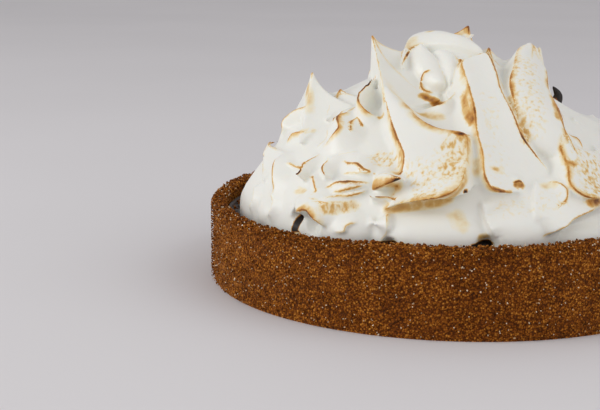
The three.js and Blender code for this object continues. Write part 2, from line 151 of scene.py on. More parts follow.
def brownAlong(curve, strength, bleed=(1.5, 1.5), ends=(0, 0)):
    # Strength is one number, or several that are spread evenly along the curve. Bleed is how far
    # the brown fades out on the left and on the right of a line that runs down.
    strengths = strength if isinstance(strength, list) else [strength]
    evenly = np.linspace(0, 1, len(strengths))
    length = lengthOf(curve)
    spacing = 0.6
    count = max(int(length / spacing), 2)
    for i in range(count + 1):
        t = i / count
        point = curveAt(curve, t)
        run = curveAt(curve, min(t + 0.02, 1)) - curveAt(curve, max(t - 0.02, 0))
        side = outwards(point).cross(run).normalized()
        fade = min(1, ends[0] + t * 6, ends[1] + (1 - t) * 6)
        patchy = 0.9 + 0.6 * noise.noise(point / 9) + 0.4 * noise.noise(point / 3.2)
        burns.append((point, side, float(np.interp(t, evenly, strengths)) * fade * patchy, bleed))


def fold(crest, up=20, down=8, curve=(2, 2), lean=0, tips=(0, 0), toast=0.5, bleed=(1.5, 1)):
    # a sharp crest whose flanks reach up and down the heap; it bleeds down and up
    line = [Vector((azimuth, arcOf(z), out)) for azimuth, z, out in crest]
    points = [onHeap(*one) for one in crest]
    sink = heap["sink"]
    length = lengthOf(points)
    rightwards = 1 if crest[-1][0] >= crest[0][0] else -1
    bottom = 0.4        # share of u on each flank
    taper = 14.0        # from an end of the crest to its full height or width

    def place(u, v):
        at = curveAt(line, v)
        radius = max(radii[min(bisect(arcs, at.y), 400)], 8)
        before, after = curveAt(line, max(v - 0.03, 0)), curveAt(line, min(v + 0.03, 1))
        run = Vector((radians(after.x - before.x) * radius, after.y - before.y)).normalized()
        uphill = Vector((-run.y, run.x)) * rightwards
        out = at.z
        width = 1.0
        for tip, gap in ((tips[0], v), (tips[1], 1 - v)):
            near = min(gap * length / taper, 1)
            if tip:
                width *= max(near ** 0.7, 0.3)
            else:
                out *= sin(near * pi / 2)
        lateral = 0
        height = out if v in (0, 1) and tips[int(v)] else -sink
        if 0 < v < 1 and bottom < u < 1 - bottom:
            s = (u - bottom) / (1 - 2 * bottom)
            lateral = (up - (up + down) * s) * width
            height = -sink * (1 + 0.6 * sin(pi * s))
        elif 0 < v < 1:
            upper = u <= bottom
            s = u / bottom if upper else (1 - u) / bottom
            lateral = s * (up if upper else -down) * width
            height = out * (1 - s) ** curve[0 if upper else 1] - sink * s * s
        if height > 0 and at.z > 0:
            lateral -= lean * (height / at.z) ** 2
        azimuth = at.x + lateral * uphill.x / radius * 180 / pi
        return heapAt(azimuth, at.y + lateral * uphill.y, height)

    drawnOut(24, max(12, int(length / 1.5)), place)
    ridge = [place(0, i / 20) for i in range(1, 20)]
    brownAlong(ridge, toast, bleed if rightwards > 0 else bleed[::-1], tips)


def sheet(left, right, bulge=2.0, skirts=((12, 6), (12, 6)), toast=(0.5, 0.5),
          bleed=((2, 1), (1, 2))):
    # a smooth lap between two sharp edges that meet at its ends, and the hollow slopes outside them
    left = [onHeap(*one) for one in left]
    right = [onHeap(*one) for one in right]
    drop = 12.0         # from an edge down into the heap
    face = (0.25, 0.5)      # shares of u where the face starts and ends
    under = 0.75

    def place(u, v):
        a, b = curveAt(left, v), curveAt(right, v)
        across = (b - a).normalized()
        ends = min(1, 7 * v, 7 * (1 - v))
        if face[0] <= u <= face[1]:
            s = (u - face[0]) / (face[1] - face[0])
            point = a.lerp(b, s)
            return point + outwards(point) * (bulge * 4 * s * (1 - s))
        onRight = face[1] < u <= under
        edge, towards = (b, across) if onRight else (a, -across)
        widths = [start + (end - start) * v for start, end in skirts]
        s = (u - face[1]) / (under - face[1]) if onRight else (face[0] - u) / face[0]
        if u > under:
            s = 1
            turn = (u - under) / (1 - under)
            foot = (b + across * (widths[1] * ends)).lerp(a - across * (widths[0] * ends), turn)
            return foot - outwards(foot) * (drop * ends)
        point = edge + towards * (widths[onRight] * s * ends)
        return point - outwards(point) * (drop * (1 - (1 - s) ** 2) * ends)

    length = lengthOf(left)
    drawnOut(48, max(16, int(length / 1.8)), place)
    for edge, strength, reaches in zip((left, right), toast, bleed):
        brownAlong(edge, strength, reaches)


def bent(path, t):
    a, b, c = path
    return a * (1 - t) ** 2 + b * 2 * t * (1 - t) + c * t * t


def spire(tip, ridges, hollow=0.2, blunt=0.5, toast=(1.0, 0.4), bleed=1.5):
    # a peak pulled up to a tip, with sharp ridges down to its feet and hollow faces between them
    top = Vector(tip)
    paths = []
    for azimuth, z, out, sag in ridges:
        end = onHeap(azimuth, z, out)
        middle = top.lerp(end, 0.5 - sag)
        middle.z = top.z + (end.z - top.z) * (0.5 + sag)
        paths.append((top, middle, end))
    centre = sum((path[-1] for path in paths), Vector()) / len(paths)
    paths.sort(key=lambda path: atan2(path[-1].y - centre.y, path[-1].x - centre.x))
    count = len(paths)
    root = Vector((centre.x * 0.6, centre.y * 0.6, max(centre.z - 2 * heap["sink"], heap["seat"] + 1)))
    feetAt = 0.88       # share of v from the tip to the feet

    def place(u, v):
        t = min(v / feetAt, 1) ** 1.2
        corners = [bent(path, t) for path in paths]
        axis = sum(corners, Vector()) / count
        i = min(int(u * count), count - 1)
        s = u * count - i
        point = corners[i].lerp(corners[(i + 1) % count], s).lerp(axis, hollow * 4 * s * (1 - s))
        if v > 0:
            point += (point - axis).normalized() * blunt
        return point.lerp(root, (v - feetAt) / (1 - feetAt)) if v > feetAt else point

    drawnOut(count * 6, 36, place)
    fading = [toast[0], *(toast[1] * (1 - i / 9) for i in range(9))]
    for path in paths:
        brownAlong([bent(path, t) for t in np.linspace(0, 0.9, 8)], fading, (bleed, bleed), (1, 0))


def curl(path, width, thickness, toast=0.5):
    # a roll that thins to its tip
    points = [Vector(one) for one in path]

    def place(u, v):
        run = (curveAt(points, min(v + 0.02, 1)) - curveAt(points, max(v - 0.02, 0))).normalized()
        across = run.cross(Vector((0, -1, 0.2))).normalized()
        deep = run.cross(across).normalized()
        size = 0.03 + 0.97 * (1 - v) ** 0.7 if 0 < v < 1 else 0
        ring = across * (thickness * cos(tau * u)) + deep * (width * sin(tau * u))
        return curveAt(points, v) + ring * size

    drawnOut(16, 30, place)
    brownAlong(points, [toast, toast, toast], (6, 6), (1, 1))


def billow(azimuth, radius, z, size):
    turn = Matrix.Rotation(radians(azimuth), 3, "Z")

    def place(u, v):
        ball = Vector((sin(pi * v) * cos(tau * u), sin(pi * v) * sin(tau * u), cos(pi * v)))
        return turn @ (Vector((radius, 0, z)) + ball * Vector(size))

    drawnOut(32, 20, place)


spires = {
    "tall": dict(tip=(-40, -17, 115.8), ridges=[(-119, 78, 6, 0.02), (-104, 90, 3, 0.3),
        (-120, 103, 3, 0.38), (160, 100, 2, 0.1), (-160, 92, 1, 0.0)], hollow=0.12),
    "left": dict(tip=(-67, -6, 97.5), ridges=[(-172, 75, 3, 0.08), (-150, 66, 3, 0.1), (-147, 84, 1, 0.3),
        (165, 84, 1, 0.3), (165, 68, 2, 0.1)], hollow=0.12, toast=(0.5, 0.1)),
    "nub": dict(tip=(-54, -10, 90), ridges=[(-164, 80, 1, 0.1), (-150, 76, 3, 0.2), (-146, 87, 1, 0.3),
        (170, 86, 0, 0.2)], hollow=0.25),
    "frontRidge": dict(tip=(-1, -30, 106), ridges=[(-90, 80, 7, 0.05), (-101, 90, 4, 0.3),
        (-76, 90, 3, 0.3), (-60, 103, 2, 0.2), (-120, 103, 2, 0.2)]),
    "broadSheet": dict(tip=(14, -14, 110), ridges=[(-74, 84, 7, 0.05), (-55, 92, 3, 0.35), (0, 100, 2, 0.2),
        (90, 104, 1, 0.2), (-92, 94, 4, 0.15)], hollow=0.15),
    "leaf": dict(tip=(34, -12, 111), ridges=[(-68, 84, 6, 0.02), (-62, 72, 5, 0.05), (-54, 82, 5, 0.1),
        (25, 96, 1, 0.2), (70, 98, 0, 0.3)], hollow=0.04, blunt=2.2, toast=(0.3, 0.2)),
    "leafTop": dict(tip=(37, -10, 109.5), ridges=[(-54, 84, 6, 0.02), (-66, 71, 5, 0.05),
        (-50, 85, 6, 0.05), (20, 95, 1, 0.2), (70, 97, 0, 0.3)], hollow=0.04, blunt=2, toast=(0.3, 0.2)),
    "rightShoulder": dict(tip=(53, -10, 76), ridges=[(-48, 68, 3, 0.05), (-30, 62, 2, 0.1), (0, 64, 1, 0.1),
        (10, 76, 0, 0.2), (-42, 80, 2, 0.2)], toast=(0.2, 0.1)),
    "horn": dict(tip=(5, -6, 119.6), ridges=[(-140, 107, 7, 0.2), (-60, 107, 6, 0.2), (10, 107, 3, 0.1),
        (120, 107, 3, 0.1)], hollow=0.1, toast=(1.8, 1.3), bleed=5),
    "needle": dict(tip=(-90, -7, 66.5), ridges=[(-164, 56, 1, 0.1), (-156, 50, 2, 0.1), (-156, 63, 1, 0.3),
        (-170, 62, 0, 0.1)], blunt=0.6, toast=(4.0, 0.8)),
}

sheets = {
    "shield": dict(
        left=[(-138, 90, 9), (-126, 84, 8), (-117, 76, 7.5), (-113, 71, 7), (-110, 66.5, 6),
              (-110, 61, 3), (-111, 55, 1), (-112, 50.5, 1), (-113, 48, 3)],
        right=[(-138, 90, 9), (-119, 85, 7), (-109, 78.5, 8), (-101, 75, 8), (-93, 73, 9), (-92, 68.5, 7),
               (-93, 61, 8), (-95, 54.5, 11), (-99, 51, 13), (-103, 50, 13), (-109, 49, 9), (-113, 48, 3)],
        bulge=1.5, skirts=((18, 10), (20, 1)),
        toast=([0.5, 0.7, 0.7, 0.8, 0.7, 0.8, 0.4, 0.2, 0.3],
               [0.6, 0.8, 0.9, 0.8, 0.7, 0.3, 0.3, 0.5, 0.9, 1.0, 1.0, 0.8]),
        bleed=((5, 0.8), (5, 6))),
    "broad": dict(
        left=[(-80, 99.5, 9), (-92, 96.5, 10), (-90, 89, 9), (-89, 81.5, 9), (-89, 74.5, 8), (-88, 68, 6),
              (-88, 61, 5), (-86, 56, 5), (-82, 55.5, 4)],
        right=[(-80, 99.5, 9), (-70, 99, 11), (-72, 93.5, 10), (-75, 87.5, 9), (-75, 79, 8.5), (-74, 73, 6),
               (-71, 68, 3), (-69, 63, 1), (-75, 58, 0.5), (-82, 55.5, 3.5)],
        bulge=-0.5, skirts=((20, 6), (14, 16)),
        toast=([0, 0.6, 0.5, 0.7, 0.6, 0.5, 0.6, 1.2, 1.4],
               [0, 1.0, 0.7, 0.5, 0.7, 1.0, 0.4, 0, 0, 0]), bleed=((4, 1), (1, 3))),
    "leafFace": dict(
        left=[(-18, 98.5, 14), (-35, 99, 12), (-58, 94.5, 10), (-68, 90, 9), (-72, 83.5, 8), (-73, 77, 5),
              (-71, 72, 3), (-66, 68, 1)],
        right=[(-18, 98.5, 14), (-17, 96.5, 12), (-35, 92, 10), (-50, 86.5, 9), (-56, 79, 9), (-59, 74, 8),
               (-61, 70, 5), (-66, 68, 1)],
        bulge=2, skirts=((6, 8), (12, 10)),
        toast=([0.2, 0.5, 0.6, 0.8, 0.5, 0.2, 0, 0], [0.2, 0.3, 0.5, 0.9, 0.9, 0.7, 0.6, 0.3]),
        bleed=((1, 3), (3, 1))),
    "rightTongue": dict(
        left=[(-60, 74.5, 5), (-64, 68, 6), (-65, 62.5, 7), (-67, 56, 8.5), (-65, 51, 11), (-60, 50, 9.5)],
        right=[(-60, 74.5, 5), (-58, 70, 5), (-50, 67, 4), (-46, 62.5, 3), (-46, 56.5, 3), (-51, 52.5, 6),
               (-60, 50, 9.5)],
        bulge=2, skirts=((12, 1), (12, 4)), toast=([0.5, 0.7, 0.5, 0.6, 0.9, 1.0], 0.3),
        bleed=((2, 3), (2, 1))),
    "crown": dict(
        left=[(-131, 94, 9), (-148, 99.5, 9), (164, 103, 10), (163, 105.5, 10.5), (-156, 108, 9),
              (-99, 107, 9), (-78, 106, 9), (-67, 103, 8), (-67, 101, 7)],
        right=[(-131, 94, 9), (-138, 98, 9), (-146, 101.5, 9), (-137, 103, 9), (-117, 103.5, 9),
               (-97, 103, 9), (-82, 102, 8), (-72, 101, 7), (-67, 101, 7)],
        bulge=2, skirts=((8, 8), (1.5, 4)),
        toast=([1.2, 0.7, 0.3, 0.3, 0.8, 0.7, 0.3, 1.0, 0.5], [1.2, 1.0, 0.7, 0.2, 0, 0, 0, 0, 0]),
        bleed=((1, 1), (1, 3))),
    "innerLobe": dict(
        left=[(-137, 102.5, 8), (-145, 101, 8), (-140, 99, 7), (-131, 97, 6), (-121, 95, 5),
              (-111, 93, 5), (-103, 93, 4)],
        right=[(-137, 102.5, 8), (-122, 101, 8), (-113, 99.5, 7), (-107, 97, 6), (-103, 94.5, 6),
               (-103, 93, 4)],
        bulge=2.5, skirts=((6, 10), (2, 2)), toast=(0, 0.15)),
    "secondLobe": dict(
        left=[(-123, 101.5, 6), (-114, 100, 5), (-108, 97.5, 5), (-103, 95, 4), (-100, 93, 4)],
        right=[(-123, 101.5, 6), (-110, 102.5, 7), (-97, 101, 7), (-95, 98, 6), (-97, 95.5, 5),
               (-100, 93, 4)],
        bulge=2, skirts=((2, 2), (5, 5)), toast=(0, 0.15)),
    "darkTongue": dict(
        left=[(-116, 54, 5), (-113, 54.5, 8.5), (-110, 55.5, 11), (-107.5, 56.5, 12.5)],
        right=[(-116, 54, 5), (-115.5, 57, 8), (-114, 58.5, 9), (-112, 58.5, 10), (-110, 57.5, 11),
               (-107.5, 56.5, 12.5)],
        bulge=1, skirts=((1, 1), (10, 3)), toast=([1.2, 1.0, 1.4, 2.0], [0.5, 0.2, 0.2, 1.6]),
        bleed=((0.8, 7), (3, 1))),
}

folds = {
    "cup": dict(crest=[(-144, 91, 9), (-140, 88.5, 10), (-139, 86, 10), (-138, 83.5, 10), (-134, 81, 9.5),
        (-130, 80.5, 8.5), (-127, 82, 8)], up=4, down=8, curve=(1.6, 1.6), tips=(1, 0),
        toast=[0.8, 1.4, 1.0, 0.9, 0.9, 0.8, 0.5], bleed=(3, 1)),
    "smallCurl": dict(crest=[(-131, 73.5, 5), (-135, 77, 4), (-135, 79, 4), (-132, 78, 3), (-131, 77, 2)],
        up=5, down=5, tips=(1, 0), toast=[1.2, 0.6, 0.4, 0.5, 0.5]),
    "wavy": dict(crest=[(-149, 84, 5), (-141, 80, 6), (-141, 77, 6.5), (-137, 74.5, 7.5), (-135, 72.5, 7.5),
        (-137, 70, 7), (-142, 67, 4)], up=18, down=14, toast=[0.3, 0.8, 1.0, 0.9, 1.0, 1.0, 0.6],
        bleed=(1, 3)),
    "leftBand": dict(crest=[(-152, 72, 5), (-157, 69.5, 6), (-163, 66.5, 6)], up=8, down=6,
        toast=[0.3, 0.6, 0.7], bleed=(3, 2)),
    "cheek": dict(crest=[(-159, 61, 5), (-154, 58, 5), (-150, 52, 4), (-148, 46, 2)], up=18, down=8,
        toast=[1.0, 0.8, 0.6, 0.3]),
    "hookB": dict(crest=[(-140, 67, 3), (-140, 63.5, 5), (-140, 60.5, 6), (-139, 57.5, 7), (-139, 55, 8)],
        up=9, down=9, tips=(0, 1), toast=[0.3, 0.5, 0.8, 1.0, 1.5]),
    "cheekArc": dict(crest=[(-139, 57, 3), (-136, 57, 5), (-134, 55.5, 6), (-132.5, 53, 5.5), (-132, 51, 5),
        (-135, 48.5, 3)], up=14, down=7, toast=[0.7, 0.8, 0.6, 0.5, 0.5, 0.2]),
    "hookC": dict(crest=[(-137, 66.5, 3), (-134, 63.5, 5), (-133, 61, 6), (-132, 59, 7), (-130, 57, 7.5)],
        up=14, down=12, tips=(0, 1), toast=[0.1, 0.4, 0.7, 0.9, 0.9]),
    "streakA": dict(crest=[(-131, 66, 1), (-127, 64, 3), (-123, 63, 5), (-120, 61.5, 6), (-116, 61.5, 3)],
        up=16, down=10, toast=[0.4, 0.7, 1.1, 0.9, 0.6]),
    "streakB": dict(crest=[(-132, 53, 1.5), (-128, 55.5, 5), (-124, 56, 6), (-121, 57, 6), (-117, 59, 4)],
        up=10, down=12, toast=[0.5, 0.6, 0.8, 1.0, 0.8]),
    "fin": dict(crest=[(-116.5, 52.5, 7), (-115, 52, 7), (-112, 52.5, 8), (-110, 52.5, 8), (-111, 51.5, 5)],
        up=4, down=4, tips=(1, 0), toast=[1.7, 0.8, 0.9, 0.9, 0.6]),
    "caveLip": dict(crest=[(-141, 41, 3), (-136.5, 43, 7), (-133, 45.5, 9), (-130, 45.5, 10),
        (-128, 43.5, 10), (-126, 40.5, 9), (-124.5, 37, 7)], up=16, down=3, curve=(1.4, 0.6), lean=2,
        toast=[0, 0.2, 0.6, 0.9, 0.9, 0.4, 0], bleed=(1, 4)),
    "footEdge": dict(crest=[(-112, 48, 5.5), (-111, 46, 8), (-110.5, 41, 9), (-113, 36.5, 8)], up=20,
        down=2.5, curve=(1.1, 0.6), toast=[0.6, 0.3, 0.1, 0.5], bleed=(2, 1)),
    "lowLip": dict(crest=[(-137, 48.5, 2.5), (-132, 48, 5), (-129, 48, 6.5), (-125, 48, 7),
        (-120, 49.5, 4)], up=14, down=12, toast=0.3),
    "bowlEdge": dict(crest=[(-94, 93.5, 8), (-97, 90.5, 6), (-100, 87.5, 5), (-102, 86, 5), (-108, 86, 5),
        (-115, 87.5, 5)], up=8, down=10, toast=0.3),
    "backSheet": dict(crest=[(-49, 83.5, 5), (-47, 82.5, 6), (-48, 79.5, 7)], up=10, down=10, toast=0.5),
    "rightRidge": dict(crest=[(-39, 89, 8), (-54, 82, 9), (-58, 78, 9), (-59, 74.5, 8), (-59, 70.5, 7),
        (-60, 67.5, 6), (-61, 64.5, 4)], up=16, down=16, toast=0.6),
    "lobeEdge": dict(crest=[(-55, 76.5, 5), (-54, 74, 7), (-53, 71.5, 9), (-51, 69.5, 10)], up=14, down=8),
    "finger": dict(crest=[(-71, 58.5, 5), (-70, 59, 7), (-69, 57.5, 8), (-68, 54.5, 8), (-69, 51.5, 8),
        (-71, 49.5, 7), (-73, 46.5, 6), (-75, 45, 4)], up=14, down=10, curve=(1.5, 1.5), toast=0.5),
    "lap": dict(crest=[(-77, 39.5, 4.5), (-75, 41.5, 7), (-73, 43.5, 9), (-71, 44.5, 10), (-69, 46.5, 10),
        (-64, 48.5, 9), (-60, 49.5, 8), (-52, 50, 5)], up=26, down=4, curve=(1.2, 0.7), lean=2, toast=0.4),
    "leftBulge": dict(crest=[(-160, 81, 4), (-168, 77, 6.5), (-174, 73, 6.5), (-176, 69, 5), (-170, 67, 4)],
        up=10, down=4, curve=(1.2, 0.8), toast=[0.2, 0.4, 0.4, 0.7, 0.3]),
}

curls = {
    "rightLobe": dict(path=[(48, -18, 69), (54, -18, 75), (59, -18, 75.5), (63, -18, 70)], width=9,
        thickness=5.5),
    "burntCurl": dict(path=[(42, -8, 78), (45, -8, 82), (47.5, -8, 87), (44.5, -8, 92)], width=5,
        thickness=4.5, toast=5),
    "wisp": dict(path=[(2, -8, 109), (5.5, -8, 114), (8.5, -8, 115.7)], width=2.4, thickness=1.4,
        toast=0.2),
}

# Soft swellings: azimuth, radius, z and half sizes outwards, sideways and up.
billows = [
    (-178, 87, 34, (10, 12, 8)),
    (-164, 88, 36, (10, 9, 9)),
    (-152, 91, 37, (11, 11, 10)),
    (-123, 91, 38, (14, 19, 12)),
    (-101, 91, 38, (15, 27, 13)),
    (-80, 90, 40, (16, 20, 14)),
    (-62, 91, 36, (14, 20, 10)),
    (-44, 89, 40, (15, 18, 12)),
    (-110, 10, 92, (28, 30, 17)),      # the mass behind the crown
]

# Where the dome's right side falls in, before it is dressed.
scoops = [
    dict(azimuth=-6, z=86, reach=26, depth=7),
    dict(azimuth=32, z=80, reach=38, depth=9),
]

# Hollows pressed into the finished heap: azimuth, z, radius, depth.
hollows = [
    (177, 57, 24, 9),
    (162, 54, 24, 8),
    (-176, 65, 7, 5),
    (-110, 35, 5, 6),
    (-88, 36.5, 6, 8),
    (-112, 91, 21, 5),
    (-134, 86, 6, 4),
    (-137, 40.5, 5.5, 13),
    (-131, 39.5, 7, 6),
    (-99, 62, 20, 1.5),
    (-81, 74, 16, 1.5),
]

# Fine ridges that the spoon drew on the finished heap: azimuth and z of places, height, width on the
# left and on the right, and how brown it is.
ripples = {
    "cMark": ([(-112, 96.2), (-117.5, 95.6), (-119.5, 94.2), (-117.5, 93), (-113, 92.4), (-109, 92.4)],
        1.2, (1.5, 4), 0.75),
    "smile": ([(-151, 59), (-146, 58), (-142, 58.5), (-140, 61)], 1.3, (1.5, 4), [0.3, 0.5, 0.9, 0.3]),
    "leftStroke": ([(-144, 76), (-146, 78.5), (-148, 82)], 1.5, (2, 5), [1.0, 0.8, 0.3]),
    "chip": ([(-81, 58.5), (-79, 58.8), (-77, 58.5)], 2, (1.5, 5), 1.1),
    "low": ([(-140, 47), (-134, 45), (-130, 42)], 1, (2, 4), 0.1),
    "streak1": ([(-128, 59), (-122, 60), (-118, 60.5)], 1, (1.5, 4), 0.3),
    "streak2": ([(-129, 49.5), (-124, 51), (-121, 52.5), (-118, 54)], 1.2, (1.5, 4), 0.45),
    "streak3": ([(-128, 51.5), (-123, 54), (-119, 56)], 1, (1.5, 3), 0.5),
    "streak4": ([(-146, 74), (-142, 71), (-144, 66)], 1, (2, 5), 0.2),
    "streak5": ([(-126, 68), (-131, 66), (-134, 63)], 1, (2, 5), 0.1),
    "wrinkle": ([(-124, 38.5), (-121, 39), (-120.5, 41), (-118, 43)], 1.6, (1.2, 4), 0.25),
    "ruffle1": ([(-161, 47), (-158, 42), (-160, 36)], 2.2, (1.5, 6), 0.2),
    "ruffle2": ([(-150, 48), (-147, 42), (-149, 37)], 2.2, (1.5, 6), 0.2),
    "seam1": ([(-89, 53), (-88, 47), (-86, 40)], 2.2, (2, 8), 0),
    "seam2": ([(-73, 60), (-76, 52), (-77, 45)], 1.2, (2, 8), 0),
}


# The far side has shapes of the same kinds, turned about the middle and lower.
farReach = 105.0        # they stay inside the crust
farSide = [
    dict(turn=195, lower=0.78, shapes=["shield", "broad", "streakB", "darkTongue", "fin", "lowLip",
         "hookC"]),
    dict(turn=235, lower=0.8, shapes=["tall"]),
    dict(turn=160, lower=0.92, shapes=["frontRidge"]),
    dict(turn=180, lower=0.94, shapes=["broadSheet"]),
    dict(turn=140, lower=0.82, shapes=["leaf", "leafTop"]),
    dict(turn=190, lower=0.66, shapes=["left", "nub", "wavy", "leftBand", "cheek", "hookB", "cheekArc",
         "caveLip", "leftBulge"]),
    dict(turn=103, lower=0.7, shapes=["shield", "streakA", "darkTongue"]),
    dict(turn=188, lower=0.72, shapes=["rightTongue", "finger", "lap"]),
]


def lowered(z, share):
    return heap["seat"] + (z - heap["seat"]) * share


def turnedShape(shape, turn, lower):
    def moved(azimuth, z, out, *rest):
        z = lowered(z, lower)
        return (azimuth + turn, z, min(out, farReach - heapRadius(z)), *rest)

    copy = dict(shape)
    for key in ("crest", "left", "right", "ridges"):
        if key in copy:
            copy[key] = [moved(*row) for row in copy[key]]
    if "tip" in copy:
        copy["tip"] = Matrix.Rotation(radians(turn), 3, "Z") @ Vector(copy["tip"])
        copy["tip"].z = lowered(copy["tip"].z, lower)
    return copy


def dome(u, v):
    skirt = 0.1     # share of v under the foot
    if v > skirt:
        arc = arcs[-1] * (v - skirt) / (1 - skirt)
        out = 0
        for scoop in scoops:
            away = (heapAt(360 * u, arc) - onHeap(scoop["azimuth"], scoop["z"])).length / scoop["reach"]
            out -= scoop["depth"] * max(1 - away ** 2, 0) ** 2
        return heapAt(360 * u, arc, out)
    under = Vector((0, 0, heap["seat"] - 3))
    return under.lerp(heapAt(360 * u, 0) - Vector((0, 0, 3)), v / skirt)


def makeShapes():
    drawnOut(96, 60, dome)
    for one in spires.values():
        spire(**one)
    for one in sheets.values():
        sheet(**one)
    for one in folds.values():
        fold(**one)
    for one in curls.values():
        curl(**one)
    for one in billows:
        billow(*one)
    for far in farSide:
        for name in far["shapes"]:
            for make, kind in ((spire, spires), (sheet, sheets), (fold, folds)):
                if name in kind:
                    make(**turnedShape(kind[name], far["turn"], far["lower"]))
    count = 9       # swellings at the foot of the far side
    for i in range(count):
        swell = sin(2.7 * i)
        azimuth = -30 + 190 * (i + 0.5) / count
        billow(azimuth, 90 + swell, 39, (14 + swell, 18 + 3 * swell, 12 + swell))


def readVertices(mesh, name="co"):
    values = np.empty(len(mesh.vertices) * 3)
    mesh.vertices.foreach_get(name, values)
    return values.reshape(-1, 3)


def movePoints(mesh, co):
    mesh.vertices.foreach_set("co", co.ravel())
    mesh.update()


def neighbours(mesh):
    ends = np.empty(len(mesh.edges) * 2, dtype=np.int64)
    mesh.edges.foreach_get("vertices", ends)
    a, b = ends.reshape(-1, 2).T
    count = len(mesh.vertices)
    return a, b, np.bincount(a, minlength=count) + np.bincount(b, minlength=count)


def averaged(values, links):
    a, b, degree = links
    count = len(degree)
    total = np.bincount(a, values[b], count) + np.bincount(b, values[a], count)
    return total / degree


def pressed(points):
    for azimuth, z, radius, depth in hollows:
        centre = np.array(onHeap(azimuth, z, 4))
        away = np.linalg.norm(points - centre, axis=1)
        share = np.clip(1 - (away / radius) ** 2, 0, 1) ** 2
        points = points - np.array(outwards(Vector(centre))) * (share * depth)[:, None]
    return points


def pressHollows(mesh):
    # the browned crests go down with the heap
    movePoints(mesh, pressed(readVertices(mesh) / mm) * mm)
    places = pressed(np.array([burn[0] for burn in burns]))
    burns[:] = [(Vector(place), *burn[1:]) for place, burn in zip(places, burns)]


def surfaceOf(mesh):
    # the mesh in millimetres, to be hit by rays
    places = [Vector(place) for place in readVertices(mesh) / mm]
    return BVHTree.FromPolygons(places, [tuple(face.vertices) for face in mesh.polygons])


def laidOn(surface, line, spacing):
    # evenly spaced places along a line, on the outermost surface: share of the line, point, normal
    points = [onHeap(azimuth, z, 4) for azimuth, z in line]
    count = max(int(lengthOf(points) / spacing), 1)
    found = []
    for i in range(count + 1):
        guess = curveAt(points, i / count)
        point, normal = surface.ray_cast(guess + outwards(guess) * 30, -outwards(guess))[:2]
        if point:
            found.append((i / count, point, normal))
    return found


def drawRipples(mesh):
    co = readVertices(mesh)
    surface = surfaceOf(mesh)
    widest = 9
    samples = []
    for line, high, wide, toast in ripples.values():
        found = laidOn(surface, line, 0.5)
        for i, (t, point, normal) in enumerate(found):
            run = found[min(i + 2, len(found) - 1)][1] - found[max(i - 2, 0)][1]
            side = normal.cross(run).normalized()
            fade = min(1, i / 6, (len(found) - 1 - i) / 6)
            samples.append((point, normal, side, high * fade, wide))
        brownAlong([point + normal * high for t, point, normal in found], toast)
    tree = kdtree.KDTree(len(samples))
    for i, sample in enumerate(samples):
        tree.insert(sample[0], i)
    tree.balance()
    for i, point in enumerate(co):
        place, k, away = tree.find(point / mm)
        if away > widest:
            continue
        middle, normal, side, high, wide = samples[k]
        lateral = (Vector(point / mm) - middle).dot(side)
        reach = wide[0] if lateral < 0 else wide[1]
        share = 1 - min(away / reach, 1)
        co[i] += np.array(normal) * (high * share ** 1.5 * mm)
    movePoints(mesh, co)


def softenValleys(mesh, rounds):
    # valleys fill and round off, and crests stay as sharp as the spoon left them
    co = readVertices(mesh)
    links = neighbours(mesh)
    for turn in range(rounds):
        movePoints(mesh, co)
        move = np.stack([averaged(co[:, axis], links) for axis in range(3)], 1) - co
        bend = (move * readVertices(mesh, "normal")).sum(1)
        co += move * np.where(bend > 0, 0.7, 0.3 if turn < 4 else 0)[:, None]
    movePoints(mesh, co)


def addModifier(piece, kind, **settings):
    modifier = piece.modifiers.new(kind, kind)
    for name, value in settings.items():
        setattr(modifier, name, value)


def applied(piece):
    graph = bpy.context.evaluated_depsgraph_get()
    done = bpy.data.meshes.new_from_object(piece.evaluated_get(graph))
    piece.modifiers.clear()
    piece.data = done
    return done


def newPiece(name, bm):
    mesh = bpy.data.meshes.new(name)
    bm.to_mesh(mesh)
    bm.free()
    piece = bpy.data.objects.new(name, mesh)
    bpy.context.scene.collection.objects.link(piece)
    return piece


def storeValues(mesh, name, values):
    attribute = mesh.attributes.new(name, "FLOAT", "POINT")
    attribute.data.foreach_set("value", values)


def makeMeringue():
    makeShapes()
    bmesh.ops.scale(shapes, vec=(mm, mm, mm), verts=shapes.verts)
    piece = newPiece("meringueHeap", shapes)
    addModifier(piece, "REMESH", mode="VOXEL", voxel_size=heap["voxel"] * mm)
    done = applied(piece)
    pressHollows(done)
    softenValleys(done, heap["softening"])
    drawRipples(done)
    triangles = 2 * len(done.vertices)
    addModifier(piece, "DECIMATE", ratio=min(heap["faces"] / triangles, 1))
    done = applied(piece)
    done.polygons.foreach_set("use_smooth", [True] * len(done.polygons))
    done.update()
    print("meringue heap:", triangles, "triangles, thinned to", len(done.polygons))
    return piece


